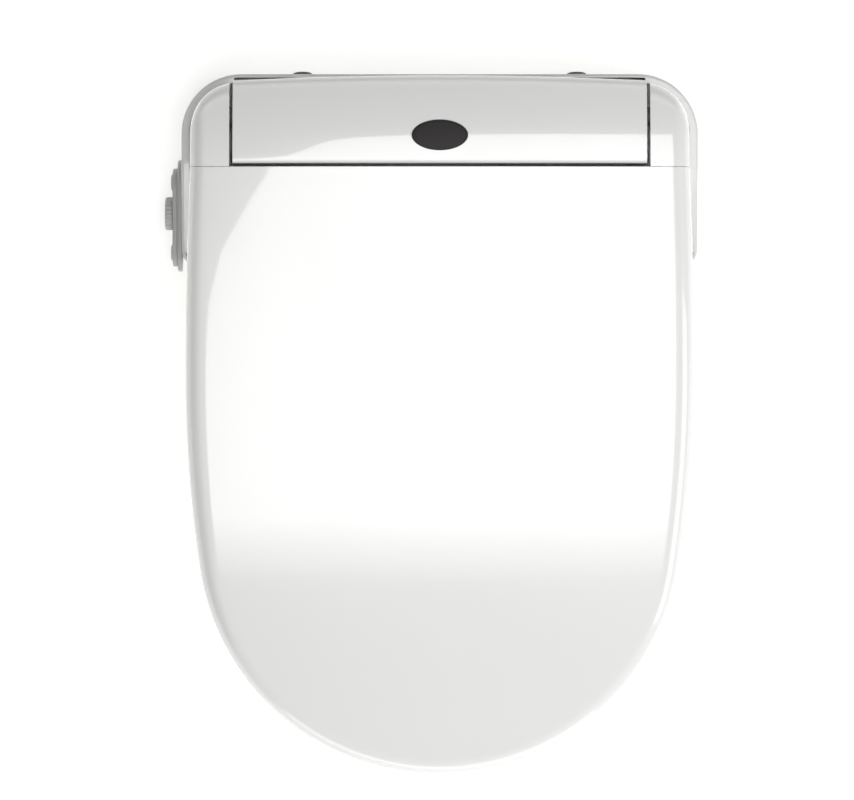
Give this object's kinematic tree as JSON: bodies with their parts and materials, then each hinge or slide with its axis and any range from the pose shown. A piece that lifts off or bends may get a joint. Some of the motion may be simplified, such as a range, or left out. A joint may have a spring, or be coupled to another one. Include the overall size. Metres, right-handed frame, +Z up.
{
  "type": "electric bidet seat",
  "caption": "Electric bidet seat for a toilet bowl, with a soft-close lid, heated seat ring, sliding wash wands, warm-air dryer and a side control.",
  "frame": {"origin": "midway between the two bowl-bolt holes, on the plane of the bowl's rim, at the underside of the mounting plate", "axes": "+Y to the rear (cistern side), +Z up, +X to the sitter's left; the side control is on -X"},
  "size_m": [0.4003, 0.5282, 0.1151],
  "materials": {
    "gloss_white": "gloss moulded white",
    "satin_white": "satin moulded white",
    "control_grey": "satin light grey",
    "smoked_window": "smoked glossy window",
    "dark_rubber": "matt dark grey",
    "pale_rubber": "matt pale grey",
    "grey_plastic": "glass-filled grey",
    "black_plastic": "satin black",
    "steel": "bright steel",
    "brass": "machined brass",
    "foil": "foil and sheet",
    "circuit": "green board"
  },
  "bodies": {
    "base": {"base_lower": "gloss_white", "rear_cover": "gloss_white", "base_deck": "satin_white", "mounting_plate": "satin_white", "nozzle_cradle": "satin_white", "control_bezel": "control_grey", "control_panel": "control_grey", "sensor_window": "smoked_window", "rear_bumper_left": "dark_rubber", "rear_bumper_right": "dark_rubber", "hinge_bush_left": "grey_plastic", "hinge_bush_right": "grey_plastic", "solenoid_valve": "grey_plastic", "blower_housing": "grey_plastic", "lid_damper": "black_plastic", "seat_damper": "black_plastic", "deodoriser_housing": "black_plastic", "cord_gland": "black_plastic", "rear_wash_motor": "steel", "front_wash_motor": "steel", "blower_motor": "steel", "water_inlet": "brass", "water_heater": "foil", "main_board": "circuit", "power_board": "circuit"},
    "seat": {"seat_upper_shell": "gloss_white", "seat_lower_shell": "gloss_white", "seat_heater_mat": "foil", "seat_lug_left": "grey_plastic", "seat_lug_right": "grey_plastic", "seat_hinge_shaft": "steel", "seat_foot_front_left": "pale_rubber", "seat_foot_front_right": "pale_rubber", "seat_foot_side_left": "pale_rubber", "seat_foot_side_right": "pale_rubber"},
    "lid": {"lid_shell": "gloss_white", "lid_liner": "satin_white", "hinge_ear_left": "gloss_white", "hinge_ear_right": "gloss_white", "lid_arm_left": "grey_plastic", "lid_arm_right": "grey_plastic", "lid_bumper_left": "pale_rubber", "lid_bumper_right": "pale_rubber", "lid_hinge_shaft": "steel"},
    "knob": {"control_knob": "control_grey"},
    "stop_key": {"stop_key": "control_grey"},
    "power_key": {"power_key": "control_grey"},
    "release_button": {"release_button": "grey_plastic"},
    "left_bolt_slider": {"bolt_slider_left": "grey_plastic"},
    "right_bolt_slider": {"bolt_slider_right": "grey_plastic"},
    "rear_wash_wand": {"rear_wash_nozzle": "steel", "rear_wash_tip": "satin_white"},
    "front_wash_wand": {"front_wash_nozzle": "steel", "front_wash_tip": "satin_white"},
    "rear_wash_pinion": {"rear_wash_pinion": "satin_white"},
    "front_wash_pinion": {"front_wash_pinion": "satin_white"},
    "blower_wheel": {"blower_impeller": "black_plastic"},
    "deodoriser_rotor": {"deodoriser_rotor": "black_plastic"},
    "dryer_flap": {"dryer_flap": "satin_white"},
    "filter_drawer": {"filter_cartridge": "grey_plastic"}
  },
  "joints": [
    {"name": "seat_hinge", "type": "hinge", "parent": "base", "child": "seat", "pos_m": [0, 0.017, 0.082], "axis": [-1, 0, 0], "range_deg": [0, 96]},
    {"name": "lid_hinge", "type": "hinge", "parent": "seat", "child": "lid", "pos_m": [0, 0.017, 0.082], "axis": [1, 0, 0], "range_deg": [-102, 0]},
    {"name": "knob_turn", "type": "hinge", "parent": "base", "child": "knob", "pos_m": [-0.2013, -0.054, 0.026], "axis": [-1, 0, 0], "range_deg": [-90, 90]},
    {"name": "stop_key_press", "type": "slide", "parent": "base", "child": "stop_key", "axis": [1, 0, 0], "range_m": [0, 0.0012], "stiffness_N_per_m": 400},
    {"name": "power_key_press", "type": "slide", "parent": "base", "child": "power_key", "axis": [1, 0, 0], "range_m": [0, 0.0012], "stiffness_N_per_m": 400},
    {"name": "release_press", "type": "slide", "parent": "base", "child": "release_button", "axis": [-1, 0, 0], "range_m": [0, 0.003], "stiffness_N_per_m": 600},
    {"name": "left_bolt_adjust", "type": "slide", "parent": "base", "child": "left_bolt_slider", "axis": [0, 1, 0], "range_m": [-0.012, 0.012]},
    {"name": "right_bolt_adjust", "type": "slide", "parent": "base", "child": "right_bolt_slider", "axis": [0, 1, 0], "range_m": [-0.012, 0.012]},
    {"name": "rear_wash_slide", "type": "slide", "parent": "base", "child": "rear_wash_wand", "axis": [0, -0.9613, -0.2756], "range_m": [0, 0.09]},
    {"name": "front_wash_slide", "type": "slide", "parent": "base", "child": "front_wash_wand", "axis": [0, -0.9613, -0.2756], "range_m": [0, 0.09]},
    {"name": "rear_pinion_turn", "type": "hinge", "parent": "base", "child": "rear_wash_pinion", "pos_m": [-0.0307, -0.05801, 0.01997], "axis": [0, -0.2756, 0.9613], "range_deg": [-740, 0]},
    {"name": "front_pinion_turn", "type": "hinge", "parent": "base", "child": "front_wash_pinion", "pos_m": [0.0307, -0.05801, 0.01997], "axis": [0, -0.2756, 0.9613], "range_deg": [0, 740]},
    {"name": "blower_spin", "type": "hinge", "parent": "base", "child": "blower_wheel", "pos_m": [0.056, 0.012, 0.053], "axis": [0, 0, 1], "continuous": true},
    {"name": "deodoriser_spin", "type": "hinge", "parent": "base", "child": "deodoriser_rotor", "pos_m": [-0.07, -0.079, 0.0246], "axis": [0, 1, 0], "continuous": true},
    {"name": "dryer_flap_swing", "type": "hinge", "parent": "base", "child": "dryer_flap", "pos_m": [0.068, -0.088, 0.0315], "axis": [-1, 0, 0], "range_deg": [0, 70]},
    {"name": "filter_pull", "type": "slide", "parent": "base", "child": "filter_drawer", "axis": [1, 0, 0], "range_m": [0, 0.045]}
  ],
  "couplings": [
    {"joint": "rear_pinion_turn", "follows": "rear_wash_slide", "rad_per_m": -142.86},
    {"joint": "front_pinion_turn", "follows": "front_wash_slide", "rad_per_m": 142.86}
  ]
}
